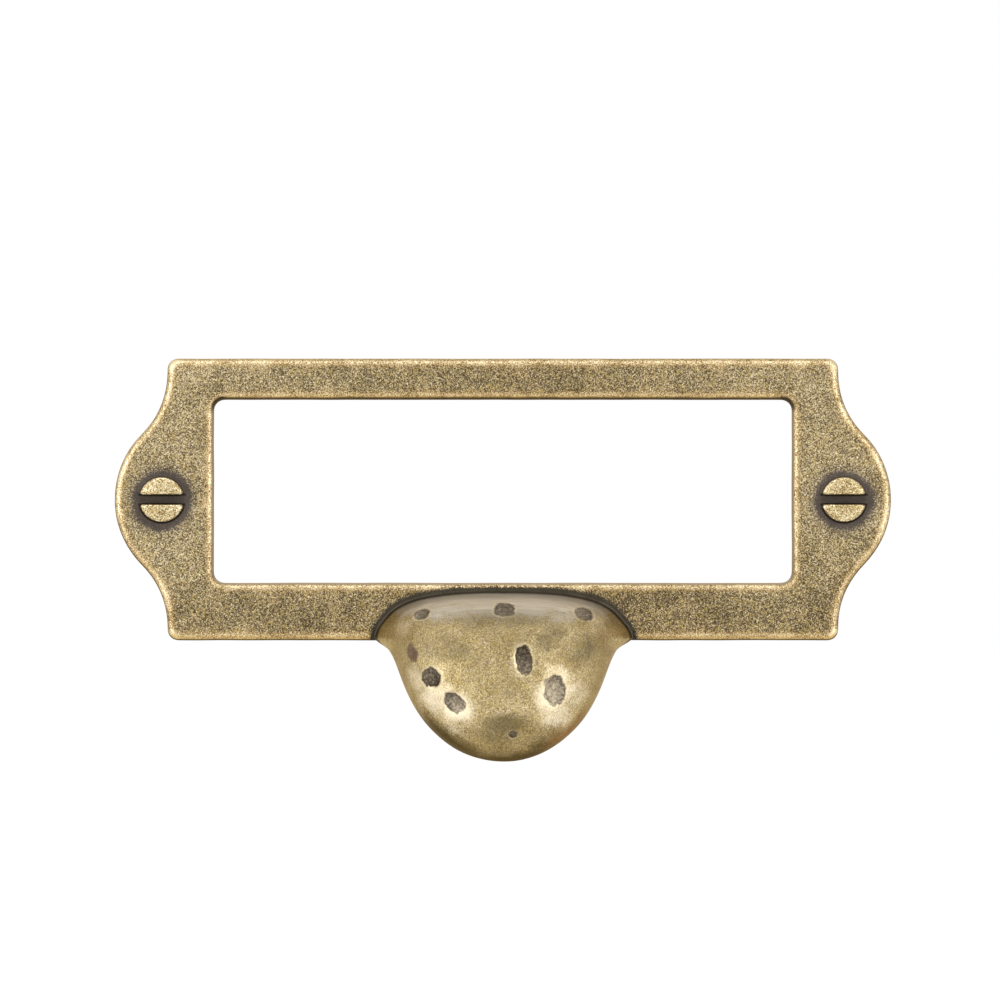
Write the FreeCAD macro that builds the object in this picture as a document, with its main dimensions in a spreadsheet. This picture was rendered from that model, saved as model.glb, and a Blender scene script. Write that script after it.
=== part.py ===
# Label frame pull for a drawer front: one casting.
# A flat frame with a window for a card, two ogee ends that each carry a cast
# slotted screw head, and a hollow finger cup hanging from the lower rail.
# Units are millimetres. X runs along the frame, Z is up, the front faces -Y.
# The origin lies on the back face, midway between the two fixing screws.
import FreeCAD
import Part
import Sketcher
import math
import os

from FreeCAD import Placement, Rotation, Vector

# Driving dimensions: alias, value, meaning
DIMENSIONS = [
    ("screw_spacing", 96.0, "between the fixing screws, and between the cast heads"),
    ("end_margin", 6.7, "fixing screw to the tip of its lobe"),
    ("end_radius", 13.0, "round lobe at each end"),
    ("ogee_depth", 7.45, "lobe tip beyond the frame's shoulders"),
    ("frame_height", 39.7, "top edge to bottom edge"),
    ("plate_thickness", 4.0, "drawer front to the frame's face"),
    ("corner_radius", 1.5, "outline at the four shoulders"),
    ("corner_land", 0.4, "short upright between shoulder and ogee"),
    ("edge_radius", 1.0, "rounded front edges"),
    ("end_rail", 6.5, "shoulder to window"),
    ("top_rail", 5.8, "top edge to window"),
    ("bottom_rail", 8.1, "bottom edge to window"),
    ("window_radius", 1.5, "window corners"),
    ("card_overlap", 2.2, "how far the card reaches behind each rail"),
    ("card_slot", 1.2, "depth of the card's recess in the back"),
    ("head_diameter", 6.4, "cast screw head"),
    ("head_rim", 0.55, "upright edge of the head"),
    ("head_dome", 0.6, "crown of the head above its upright edge"),
    ("slot_width", 1.35, "slot across the head"),
    ("thread_diameter", 4.0, "tapped hole in the back"),
    ("thread_floor", 0.7, "metal left in front of the tapped hole"),
    ("cup_width", 33.6, "cup where it leaves the frame"),
    ("lip_width", 29.3, "cup across its lip"),
    ("cup_rise", 5.9, "top of the cup above the frame's bottom edge"),
    ("cup_drop", 17.0, "lip below the frame's bottom edge"),
    ("cup_belly", 6.0, "most forward point below the frame's bottom edge"),
    ("cup_reach", 19.5, "most forward point from the drawer front"),
    ("lip_tuck", 6.5, "lip behind the most forward point"),
    ("cup_wall", 2.4, "wall of the cup"),
    ("root_flare", 1.2, "how far the cup spreads where it meets the frame"),
    ("flare_reach", 2.0, "how far from the frame the spread dies away"),
    ("lip_radius", 0.9, "rounded outer edge of the lip"),
    ("root_power", 3.0, "squareness of the arch at the frame"),
    ("lip_power", 2.0, "squareness of the arch at the lip"),
    ("profile_power", 3.6, "squareness of the cup seen from the side"),
]

# Worn pits on the outside of the cup. Each has its place as shares of the cup's
# half width and of its rise (up) or drop (down), then its length, width, depth
# and the turn of its long axis in degrees.
PITS = [
    (-0.67, 0.65, 2.4, 1.9, 0.35, 22),
    (0.01, 0.76, 3.0, 2.6, 0.40, 0),
    (0.67, 0.66, 2.9, 2.3, 0.40, -20),
    (-0.75, -0.09, 2.1, 1.1, 0.20, -75),
    (-0.59, -0.29, 3.1, 2.6, 0.55, -60),
    (-0.40, -0.49, 3.5, 2.5, 0.55, -40),
    (0.17, -0.14, 4.1, 2.4, 0.60, -85),
    (0.43, -0.39, 4.3, 3.0, 0.60, 90),
    (0.08, -0.75, 1.0, 0.9, 0.15, 0),
]
# How far each pit's ellipsoid stands off the skin, as a share of its own depth axis.
PIT_STANDOFF = 0.35

# The cup's arches swing about a hinge line just below the frame's back edge. The
# outside stops short of that line, and the hollow comes a little nearer to it.
HINGE_DROP = 0.5
SKIN_GAP = 0.4
HOLLOW_GAP = 0.3
# The hollow starts behind the drawer front and runs on past the lip (radians).
HOLLOW_START = -0.05
HOLLOW_PAST_LIP = 0.2
# Control points across the cup, and arches from the drawer front to the lip.
ARCH_POINTS = 25
CUP_ARCHES = 41

TOLERANCE = 1e-4
EDGE_SAMPLES = 5
ORIGIN = (-1, 1)
X_AXIS, Z_AXIS = range(-1, -3, -1)
START, END, CENTRE = range(1, 4)
QUARTER = math.pi / 2

HALF_LENGTH = "(sizes.screw_spacing / 2 + sizes.end_margin)"
SHOULDER = f"({HALF_LENGTH} - sizes.ogee_depth)"
WINDOW_SIDE = f"({SHOULDER} - sizes.end_rail)"
WINDOW_TOP = "(sizes.frame_height / 2 - sizes.top_rail)"
WINDOW_BOTTOM = "(sizes.bottom_rail - sizes.frame_height / 2)"
HEAD_HEIGHT = "(sizes.head_rim + sizes.head_dome)"
# A rounding wider than the outline's own corners would eat them away, and the
# lip's must leave some of the wall's thickness flat.
FRONT_ROUNDING = "min(sizes.edge_radius; 0.9 * sizes.corner_radius)"
LIP_ROUNDING = "min(sizes.lip_radius; 0.45 * sizes.cup_wall)"

doc = FreeCAD.newDocument("LabelFramePull")
sheet = doc.addObject("Spreadsheet::Sheet", "sizes")
for row, (alias, value, meaning) in enumerate(DIMENSIONS, start=1):
    sheet.set(f"A{row}", meaning)
    sheet.set(f"B{row}", str(value))
    sheet.setAlias(f"B{row}", alias)
doc.recompute()
size = {alias: float(sheet.get(alias)) for alias, _, _ in DIMENSIONS}


def value_of(formula):
    return float(sheet.evalExpression(formula))


def origin_plane(body, role):
    return next(feature for feature in body.Origin.OriginFeatures if feature.Role == role)


def new_sketch(body, name, role):
    sketch = body.newObject("Sketcher::SketchObject", name)
    sketch.AttachmentSupport = [(origin_plane(body, role), "")]
    sketch.MapMode = "FlatFace"
    return sketch


def relate(sketch, kind, *places):
    sketch.addConstraint(Sketcher.Constraint(kind, *places))


def bind(sketch, kind, places, formula):
    """Dimension that follows the sheet."""
    index = sketch.addConstraint(Sketcher.Constraint(kind, *places, value_of(formula)))
    sketch.setExpression(f"Constraints[{index}]", formula)


def line(start, end):
    return Part.LineSegment(Vector(*start, 0), Vector(*end, 0))


def arc(centre, radius, start, end):
    return Part.ArcOfCircle(Part.Circle(Vector(*centre, 0), Vector(0, 0, 1), radius), start, end)


def add_pocket(body, sketch, length, towards_front):
    pocket = body.newObject("PartDesign::Pocket", sketch.Name + "_cut")
    pocket.Profile = sketch
    pocket.Reversed = towards_front
    pocket.setExpression("Length", length)
    doc.recompute()
    if pocket.Shape.Volume > pocket.BaseFeature.Shape.Volume - TOLERANCE:
        raise RuntimeError(f"{pocket.Name} cuts nothing")
    return pocket


def edge_names(shape, wanted):
    return [f"Edge{number}" for number, edge in enumerate(shape.Edges, start=1) if wanted(edge)]


def lies_on(edge, distance):
    """Whether an edge stays where a signed distance is nil."""
    return all(abs(distance(point)) < TOLERANCE for point in edge.discretize(EDGE_SAMPLES))


def draw_outline(sketch):
    """Frame outline: a rectangle whose short sides swell into ogee lobes."""
    tip = value_of(HALF_LENGTH)
    shoulder = value_of(SHOULDER)
    top = size["frame_height"] / 2
    lobe = size["end_radius"]
    corner = size["corner_radius"]
    # The ogee is upright where it meets the land, and tangent to the lobe.
    ogee_height = top - corner - size["corner_land"]
    swell = lobe - size["ogee_depth"]
    ogee = (swell ** 2 + ogee_height ** 2 - lobe ** 2) / (2 * size["ogee_depth"])
    turn = math.atan2(ogee_height, swell + ogee)

    lobes = {}
    for side, facing in ((1, 0), (-1, math.pi)):
        lobes[side] = sketch.addGeometry(arc((side * (tip - lobe), 0), lobe, facing - turn, facing + turn))
    rails = {}
    for level in (1, -1):
        rail = line((corner - shoulder, level * top), (shoulder - corner, level * top))
        rails[level] = sketch.addGeometry(rail)
    for number, (side, level) in enumerate(((1, 1), (-1, 1), (-1, -1), (1, -1))):
        facing = math.pi if side > 0 else 0
        bend = facing + side * level * turn
        ogee_arc = sketch.addGeometry(arc((side * (shoulder + ogee), level * ogee_height), ogee,
                                          min(facing, bend), max(facing, bend)))
        land = sketch.addGeometry(line((side * shoulder, level * ogee_height),
                                       (side * shoulder, level * (top - corner))))
        corner_arc = sketch.addGeometry(arc((side * (shoulder - corner), level * (top - corner)), corner,
                                            number * QUARTER, (number + 1) * QUARTER))
        # Arcs run anticlockwise, so which of their ends meet depends on the corner.
        near, far = (START, END) if side * level > 0 else (END, START)
        relate(sketch, "Tangent", lobes[side], far, ogee_arc, far)
        relate(sketch, "Tangent", ogee_arc, near, land, START)
        relate(sketch, "Tangent", land, END, corner_arc, near)
        relate(sketch, "Tangent", corner_arc, far, rails[level], END if side > 0 else START)
        relate(sketch, "Vertical", land)
        across = (*ORIGIN, land, START) if side > 0 else (land, START, *ORIGIN)
        bind(sketch, "DistanceX", across, SHOULDER)
        bind(sketch, "Distance", (land,), "sizes.corner_land")
        bind(sketch, "Radius", (corner_arc,), "sizes.corner_radius")
    for side, lobe_arc in lobes.items():
        relate(sketch, "PointOnObject", lobe_arc, CENTRE, X_AXIS)
        across = (*ORIGIN, lobe_arc, CENTRE) if side > 0 else (lobe_arc, CENTRE, *ORIGIN)
        bind(sketch, "DistanceX", across, f"{HALF_LENGTH} - sizes.end_radius")
        bind(sketch, "Radius", (lobe_arc,), "sizes.end_radius")
    for level, rail in rails.items():
        relate(sketch, "Horizontal", rail)
        upright = (*ORIGIN, rail, START) if level > 0 else (rail, START, *ORIGIN)
        bind(sketch, "DistanceY", upright, "sizes.frame_height / 2")


def draw_rounded_rectangle(sketch, left, right, bottom, top, radius):
    """Closed rounded rectangle; each side is placed by a formula of the sizes."""
    near, far, low, high = (value_of(formula) for formula in (left, right, bottom, top))
    corner = value_of(radius)
    sketch.addGeometry(line((near + corner, low), (far - corner, low)))
    sketch.addGeometry(arc((far - corner, low + corner), corner, -QUARTER, 0))
    sketch.addGeometry(line((far, low + corner), (far, high - corner)))
    sketch.addGeometry(arc((far - corner, high - corner), corner, 0, QUARTER))
    sketch.addGeometry(line((far - corner, high), (near + corner, high)))
    sketch.addGeometry(arc((near + corner, high - corner), corner, QUARTER, 2 * QUARTER))
    sketch.addGeometry(line((near, high - corner), (near, low + corner)))
    sketch.addGeometry(arc((near + corner, low + corner), corner, 2 * QUARTER, 3 * QUARTER))
    pieces = sketch.GeometryCount
    for piece in range(pieces):
        relate(sketch, "Tangent", piece, END, (piece + 1) % pieces, START)
    for bend in range(1, pieces, 2):
        bind(sketch, "Radius", (bend,), radius)
    for straight, formula in zip(range(0, pieces, 2), (bottom, right, top, left)):
        level = straight % 4 == 0
        relate(sketch, "Horizontal" if level else "Vertical", straight)
        bind(sketch, "DistanceY" if level else "DistanceX", (*ORIGIN, straight, START), formula)


def draw_rectangle(sketch, left, right, bottom, top):
    """Closed rectangle; each side is placed by a formula of the sizes."""
    near, far, low, high = (value_of(formula) for formula in (left, right, bottom, top))
    corners = [(near, low), (far, low), (far, high), (near, high)]
    for side in range(4):
        sketch.addGeometry(line(corners[side], corners[(side + 1) % 4]))
    for side, formula in enumerate((bottom, right, top, left)):
        relate(sketch, "Coincident", side, END, (side + 1) % 4, START)
        level = side % 2 == 0
        relate(sketch, "Horizontal" if level else "Vertical", side)
        bind(sketch, "DistanceY" if level else "DistanceX", (*ORIGIN, side, START), formula)


def draw_head_section(sketch):
    """Half section of a cast screw head, beside its own axis."""
    radius = size["head_diameter"] / 2
    root = -size["plate_thickness"] / 2
    rim = -size["plate_thickness"] - size["head_rim"]
    dome = size["head_dome"]
    sphere = (radius ** 2 + dome ** 2) / (2 * dome)
    base = sketch.addGeometry(line((0, root), (radius, root)))
    wall = sketch.addGeometry(line((radius, root), (radius, rim)))
    crown = sketch.addGeometry(arc((0, rim - dome + sphere), sphere, -QUARTER,
                                   math.atan2(dome - sphere, radius)))
    axle = sketch.addGeometry(line((0, rim - dome), (0, root)))
    relate(sketch, "Coincident", base, END, wall, START)
    relate(sketch, "Coincident", wall, END, crown, END)
    relate(sketch, "Coincident", crown, START, axle, START)
    relate(sketch, "Coincident", axle, END, base, START)
    relate(sketch, "Horizontal", base)
    relate(sketch, "Vertical", wall)
    for piece, end in ((axle, START), (axle, END), (crown, CENTRE)):
        relate(sketch, "PointOnObject", piece, end, Z_AXIS)
    bind(sketch, "DistanceX", (*ORIGIN, wall, START), "sizes.head_diameter / 2")
    bind(sketch, "DistanceY", (axle, END, *ORIGIN), "sizes.plate_thickness / 2")
    bind(sketch, "DistanceY", (wall, END, *ORIGIN), "sizes.plate_thickness + sizes.head_rim")
    bind(sketch, "DistanceY", (axle, START, wall, END), "sizes.head_dome")


def make_plate():
    """Frame plate with its window, rounded front edges, cast heads and tapped holes."""
    plate = doc.addObject("PartDesign::Body", "plate")
    outline = new_sketch(plate, "frame_outline", "XZ_Plane")
    draw_outline(outline)
    slab = plate.newObject("PartDesign::Pad", "slab")
    slab.Profile = outline
    slab.setExpression("Length", "sizes.plate_thickness")
    doc.recompute()

    window = new_sketch(plate, "window", "XZ_Plane")
    draw_rounded_rectangle(window, f"-{WINDOW_SIDE}", WINDOW_SIDE, WINDOW_BOTTOM, WINDOW_TOP,
                           "sizes.window_radius")
    window_cut = add_pocket(plate, window, "sizes.plate_thickness", True)

    front = -size["plate_thickness"]
    on_front = edge_names(window_cut.Shape, lambda edge: lies_on(edge, lambda point: point.y - front))
    front_edges = plate.newObject("PartDesign::Fillet", "front_edges")
    front_edges.Base = (window_cut, on_front)
    front_edges.setExpression("Radius", FRONT_ROUNDING)

    section = new_sketch(plate, "head_section", "XY_Plane")
    section.setExpression(".AttachmentOffset.Base.x", "sizes.screw_spacing / 2")
    draw_head_section(section)
    head = plate.newObject("PartDesign::Revolution", "screw_head")
    head.Profile = section
    head.ReferenceAxis = (section, ["V_Axis"])
    head.Angle = 360
    doc.recompute()

    slot = new_sketch(plate, "head_slot", "XZ_Plane")
    slot.setExpression(".AttachmentOffset.Base.x", "sizes.screw_spacing / 2")
    slot.setExpression(".AttachmentOffset.Base.z", f"sizes.plate_thickness + {HEAD_HEIGHT}")
    draw_rectangle(slot, "-sizes.head_diameter / 2", "sizes.head_diameter / 2",
                   "-sizes.slot_width / 2", "sizes.slot_width / 2")
    slot_cut = add_pocket(plate, slot, HEAD_HEIGHT, False)

    thread = new_sketch(plate, "thread", "XZ_Plane")
    at_screw = Vector(size["screw_spacing"] / 2, 0, 0)
    bore = thread.addGeometry(Part.Circle(at_screw, Vector(0, 0, 1), size["thread_diameter"] / 2))
    relate(thread, "PointOnObject", bore, CENTRE, X_AXIS)
    bind(thread, "DistanceX", (*ORIGIN, bore, CENTRE), "sizes.screw_spacing / 2")
    bind(thread, "Diameter", (bore,), "sizes.thread_diameter")
    thread_cut = add_pocket(plate, thread, "sizes.plate_thickness - sizes.thread_floor", True)

    both_ends = plate.newObject("PartDesign::Mirrored", "both_ends")
    both_ends.Originals = [head, slot_cut, thread_cut]
    both_ends.MirrorPlane = (origin_plane(plate, "YZ_Plane"), [""])
    plate.Tip = both_ends
    doc.recompute()
    return plate


bottom_edge = -size["frame_height"] / 2
belly = bottom_edge - size["cup_belly"]
hinge = Vector(0, 0, bottom_edge - HINGE_DROP)
lip_forward = 1 - size["lip_tuck"] / size["cup_reach"]
lip_down = (1 - lip_forward ** size["profile_power"]) ** (1 / size["profile_power"])
lip_turn = math.pi - math.atan2(lip_forward, lip_down)
full_drop = (size["cup_drop"] - size["cup_belly"]) / lip_down


def superellipse(turn, power):
    """Point of a unit superellipse in the direction of an angle from its top."""
    across, along = math.sin(turn), math.cos(turn)
    stretch = (abs(across) ** power + abs(along) ** power) ** (-1 / power)
    return across * stretch, along * stretch


def cup_arch(turn, inset, gap, flare):
    """Control points of one arch across the cup, in the plane that swings about the hinge."""
    forward, level = superellipse(turn, size["profile_power"])
    height = size["cup_rise"] + size["cup_belly"] if level > 0 else full_drop
    crest = Vector(0, -(size["cup_reach"] - inset) * forward, belly + (height - inset) * level)
    arm = crest - hinge
    share = turn / lip_turn
    half_width = (size["cup_width"] + (size["lip_width"] - size["cup_width"]) * share) / 2 - inset
    power = size["root_power"] + (size["lip_power"] - size["root_power"]) * share ** 2
    reach = math.acos(gap / arm.Length)
    points = []
    for step in range(ARCH_POINTS):
        # The points crowd towards both ends, where the cup flares.
        spread = math.sin(QUARTER * (2 * step / (ARCH_POINTS - 1) - 1))
        across, along = superellipse(reach * spread, power)
        point = hinge + Vector(half_width * across, 0, 0) + arm * along
        ahead = max(0, -point.y - size["plate_thickness"])
        below = max(0, bottom_edge - point.z)
        sideways = math.copysign(abs(across) ** (power - 1), across) / half_width
        upward = along ** (power - 1) * max(TOLERANCE, arm.z / arm.Length) / size["cup_rise"]
        outward = (Vector(sideways, 0, 0) + arm * (upward / arm.Length)).normalize()
        fading = math.exp(-math.hypot(ahead, below) / size["flare_reach"])
        points.append(point + outward * flare * fading)
    return points


def clamped_knots(count):
    """Knots and multiplicities of a cubic with that many poles."""
    knots = [float(knot) for knot in range(count - 2)]
    return knots, [4] + [1] * (count - 4) + [4]


def cup_solid(inset, gap, flare, first, last):
    """Solid under a smooth skin that swings from the drawer front over to the lip."""
    turns = [first + (last - first) * step / (CUP_ARCHES - 1) for step in range(CUP_ARCHES)]
    net = [cup_arch(turn, inset, gap, flare) for turn in turns]
    swing_knots, swing_mults = clamped_knots(CUP_ARCHES)
    arch_knots, arch_mults = clamped_knots(ARCH_POINTS)
    skin = Part.BSplineSurface()
    skin.buildFromPolesMultsKnots(net, swing_mults, arch_mults, swing_knots, arch_knots, False, False, 3, 3)
    faces = [skin.toShape()]
    for arch, knot in ((net[0], swing_knots[0]), (net[-1], swing_knots[-1])):
        rim = skin.uIso(knot).toShape()
        faces.append(Part.Face(Part.Wire([rim, Part.makeLine(arch[-1], arch[0])])))
    back_edges = [skin.vIso(knot).toShape() for knot in (arch_knots[0], arch_knots[-1])]
    faces.append(Part.makeRuledSurface(*back_edges))
    shell = Part.makeShell(faces)
    shell.sewShape()
    solid = Part.Solid(shell)
    if solid.Volume < 0:
        solid.reverse()
    return solid


def make_cup():
    """Outside and hollow of the cup, as two solids."""
    outside = doc.addObject("Part::Feature", "cup_outside")
    outside.Shape = cup_solid(0, SKIN_GAP, size["root_flare"], 0, lip_turn)
    hollow = doc.addObject("Part::Feature", "cup_hollow")
    hollow.Shape = cup_solid(size["cup_wall"], HOLLOW_GAP, 0, HOLLOW_START, lip_turn + HOLLOW_PAST_LIP)
    return outside, hollow


def on_lip_plane(edge):
    lip_tip = Vector(0, -size["cup_reach"] * lip_forward, bottom_edge - size["cup_drop"])
    normal = (lip_tip - hinge).cross(Vector(1, 0, 0)).normalize()
    return lies_on(edge, lambda point: (point - hinge).dot(normal))


def add_pit(body, skin, number, pit):
    """Shallow worn pit, sunk square to the cup's skin."""
    side, level, length, width, depth, turn = pit
    x = side * size["cup_width"] / 2
    z = bottom_edge + level * (size["cup_rise"] if level > 0 else size["cup_drop"])
    sight = Part.makeLine(Vector(x, skin.BoundBox.YMin, z), Vector(x, 0, z))
    spot = min((vertex.Point for vertex in sight.common(skin).Vertexes), key=lambda point: point.y)
    face = min(skin.Faces, key=lambda face: face.distToShape(Part.Vertex(spot))[0])
    normal = face.normalAt(*face.Surface.parameter(spot))
    if normal.y > 0:
        normal = normal * -1
    turn = math.radians(turn)
    long_axis = Vector(math.cos(turn), 0, math.sin(turn))
    long_axis = long_axis - normal * long_axis.dot(normal)
    rotation = Rotation(long_axis, normal.cross(long_axis), normal, "ZXY")
    deep = depth / (1 - PIT_STANDOFF)
    swell = 2 * math.sqrt(1 - PIT_STANDOFF ** 2)
    hollow = body.newObject("PartDesign::SubtractiveEllipsoid", f"pit_{number}")
    hollow.Radius1 = deep
    hollow.Radius2 = length / swell
    hollow.Radius3 = width / swell
    hollow.Placement = Placement(spot + normal * (PIT_STANDOFF * deep), rotation)


def make_casting(plate, outside, hollow):
    """The whole casting: plate and cup as one, cored from behind, then worn."""
    joined = doc.addObject("Part::Fuse", "joined")
    joined.Base = plate
    joined.Tool = outside
    cored = doc.addObject("Part::Cut", "cored")
    cored.Base = joined
    cored.Tool = hollow
    doc.recompute()
    casting = doc.addObject("PartDesign::Body", "casting")
    casting.Label = "frame_pull_casting"
    casting.BaseFeature = cored
    doc.recompute()

    recess = new_sketch(casting, "card_recess", "XZ_Plane")
    recess_side = f"({WINDOW_SIDE} + sizes.card_overlap)"
    draw_rounded_rectangle(recess, f"-{recess_side}", recess_side,
                           f"{WINDOW_BOTTOM} - sizes.card_overlap",
                           "sizes.frame_height / 2 + sizes.window_radius", "sizes.window_radius")
    recess_cut = add_pocket(casting, recess, "sizes.card_slot", True)

    lip_edges = [edge for edge in recess_cut.Shape.Edges if on_lip_plane(edge)]
    outer_lip = max(lip_edges, key=lambda edge: edge.Length)
    lip = casting.newObject("PartDesign::Fillet", "lip")
    lip.Base = (recess_cut, edge_names(recess_cut.Shape, outer_lip.isSame))
    lip.setExpression("Radius", LIP_ROUNDING)
    doc.recompute()
    for number, pit in enumerate(PITS, start=1):
        add_pit(casting, outside.Shape, number, pit)
        doc.recompute()
    return casting


def write(parts):
    """Stop on any failed object or bad shape; otherwise write one file for each piece."""
    failed = [item.Label for item in doc.Objects if {"Invalid", "Error"} & set(item.State)]
    if failed:
        raise RuntimeError("failed: " + ", ".join(failed))
    for part in parts:
        if part.Shape.isNull() or not part.Shape.isValid() or len(part.Shape.Solids) != 1:
            raise RuntimeError(f"{part.Label} isn't one sound solid")
    os.makedirs("parts", exist_ok=True)
    for part in parts:
        part.Shape.exportStep(f"parts/{part.Label}.step")
        print(part.Label, "volume", round(part.Shape.Volume, 1), "mm3")


plate = make_plate()
outside, hollow = make_cup()
write([make_casting(plate, outside, hollow)])
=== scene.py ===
import bpy
import bmesh
import math
import numpy as np
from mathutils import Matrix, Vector, kdtree, noise
from mathutils.bvhtree import BVHTree
from types import SimpleNamespace


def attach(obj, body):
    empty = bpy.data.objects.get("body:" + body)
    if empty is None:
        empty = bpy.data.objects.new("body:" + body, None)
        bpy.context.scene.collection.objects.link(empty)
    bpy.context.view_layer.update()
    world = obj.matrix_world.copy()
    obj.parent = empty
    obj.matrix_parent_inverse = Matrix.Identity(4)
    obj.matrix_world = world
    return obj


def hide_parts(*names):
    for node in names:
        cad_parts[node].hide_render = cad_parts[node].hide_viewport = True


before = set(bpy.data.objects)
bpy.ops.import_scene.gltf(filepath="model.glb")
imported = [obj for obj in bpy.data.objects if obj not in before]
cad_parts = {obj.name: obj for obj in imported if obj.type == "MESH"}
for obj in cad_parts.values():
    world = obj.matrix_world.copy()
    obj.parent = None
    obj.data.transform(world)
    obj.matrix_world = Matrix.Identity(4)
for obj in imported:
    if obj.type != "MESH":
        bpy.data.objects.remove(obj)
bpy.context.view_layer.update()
mm = 0.001
print("frame loaded:", sorted(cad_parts))


# node wiring: a Signal is one output socket, and a Board is one node tree

class Signal:
    def __init__(self, board, socket):
        self.board = board
        self.socket = socket

    def other(self, name):  # another output of the same node
        return Signal(self.board, self.socket.node.outputs[name])

    def __add__(self, more):
        return self.board.maths("ADD", self, more)

    def __radd__(self, more):
        return self.board.maths("ADD", more, self)

    def __sub__(self, less):
        return self.board.maths("SUBTRACT", self, less)

    def __rsub__(self, whole):
        return self.board.maths("SUBTRACT", whole, self)

    def __mul__(self, times):
        return self.board.maths("MULTIPLY", self, times)

    def __rmul__(self, times):
        return self.board.maths("MULTIPLY", times, self)


class Board:
    def __init__(self, owner):
        owner.use_nodes = True
        self.tree = owner.node_tree
        self.tree.nodes.clear()

    def node(self, kind, settings=None, inputs=None, output=0):
        made = self.tree.nodes.new("ShaderNode" + kind)
        for name, value in (settings or {}).items():
            if name == "stops":
                while len(made.color_ramp.elements) < len(value):
                    made.color_ramp.elements.new(1)
                for stop, (place, colour) in zip(made.color_ramp.elements, value):
                    stop.position = place
                    stop.color = colour
            else:
                setattr(made, name, value)
        for name, value in (inputs or {}).items():
            if isinstance(value, Signal):
                self.tree.links.new(value.socket, made.inputs[name])
            else:
                made.inputs[name].default_value = value
        return Signal(self, made.outputs[output]) if made.outputs else made

    def maths(self, operation, *values):
        return self.node("Math", {"operation": operation}, dict(enumerate(values)))

    def most(self, first, *others):
        for other in others:
            first = self.maths("MAXIMUM", first, other)
        return first

    def least(self, first, *others):
        for other in others:
            first = self.maths("MINIMUM", first, other)
        return first

    def rise(self, value, low, high):  # 0 below low, 1 above high, eased between
        return self.node("MapRange", {"interpolation_type": "SMOOTHSTEP"},
                         {"Value": value, "From Min": low, "From Max": high})

    def fall(self, value, low, high):  # 1 below low, 0 above high
        return self.node("MapRange", {"interpolation_type": "SMOOTHSTEP"},
                         {"Value": value, "From Min": low, "From Max": high, "To Min": 1, "To Max": 0})

    def tint(self, under, over, amount):
        return self.node("Mix", {"data_type": "RGBA"}, {0: amount, 6: under, 7: over}, 2)

    def cloud(self, place, grain, detail=2.0, roughness=0.5):  # grain is the size of a patch in mm
        return self.node("TexNoise", {"noise_dimensions": "3D"},
                         {"Vector": place, "Scale": 1 / grain, "Detail": detail, "Roughness": roughness})

    def strokes(self, place, turn, length, width):  # short strokes that lie at one angle on the front
        along = self.node("Mapping", {"vector_type": "TEXTURE"},
                          {"Vector": place, "Rotation": (0, math.radians(turn), 0),
                           "Scale": (length, width, width)})
        return self.node("TexNoise", {"noise_dimensions": "3D"},
                         {"Vector": along, "Scale": 1, "Detail": 1})

    def trait(self, name):
        return self.node("Attribute", {"attribute_name": name}, output="Fac")

    def seen(self):  # 1 for rays that show the surroundings, straight, in metal or through glass
        path = self.node("LightPath", output="Is Camera Ray")
        return self.most(path, path.other("Is Glossy Ray"), path.other("Is Transmission Ray"))


def paint(red, green, blue):  # a screen colour, 0 to 255, as the linear colour that nodes take
    linear = [((part / 255 + 0.055) / 1.055) ** 2.4 if part > 10 else part / 255 / 12.92
              for part in (red, green, blue)]
    return (*linear, 1)


# the casting's skin: the solid's mesh in small even facets, softened as a worn casting is

castingSkin = {
    "weld": 0.0005,         # mm, nearer points of the solid's mesh are one
    "fineFacet": 0.12,      # mm, while the edges are rounded
    "softening": 12,        # rounds
    "facet": 0.31,          # mm
    "waviness": 0.035,      # mm, slow unevenness of the sand mould
    "wavePatch": 4.5,       # mm
    "evenBack": 0.3,        # mm from the back face that has no waves
    "pitRoughness": 0.13,   # mm
    "pitGrain": 0.55,       # mm
    "pitShadeSlope": 0.45,      # change of tone along a pit's floor, a painted shade on one side
    "bulgeRounds": 8,       # of smoothing, to find what bulges
    "fullBulge": 0.14,      # mm, counted as 1
}

# what is cup and what is plate, in mm from the middle of the back face
cupPlace = {
    "halfWidth": 21.0,
    "top": -12.5,
    "foot": -4.7,               # forward of this is cup
    "footRow": -5.3,            # the foot's outline lies between this and the foot
    "underPlate": -20.5,        # lower than this is cup too
    "hollowDepth": (4.3, 5.3),  # in front of the back
    "hollowDrop": (20.4, 20.7),
    "sideways": 0.9,            # share of a sideways slope in telling outside from hollow
    "outward": (-0.2, 0.2),     # slope where the hollow turns into the outside
    "pitDepth": -6.0,           # pits lie forward of this
    "pitSlope": 0.05,           # and do not face back
    "nearHalf": 30.0,           # where the distance from the foot is worked out
    "nearTop": -5.0,
}

# the cup's foot widens where it crosses the lower edge of the plate, all in mm:
# each pair of ranges is where the flare grows and where it fades
cupFlare = {
    "reach": (0.95, 1.2),                  # left and right
    "down": ((16.3, 19.6), (19.5, 21.3)),
    "forward": ((2.5, 3.8), (7.0, 13.0)),
    "aside": ((13.0, 16.0), (17.5, 21.5)),
}

plainTraits = {"footGap": 20.0, "pit": -3.0}  # far from the cup's foot and from every pit
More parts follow.
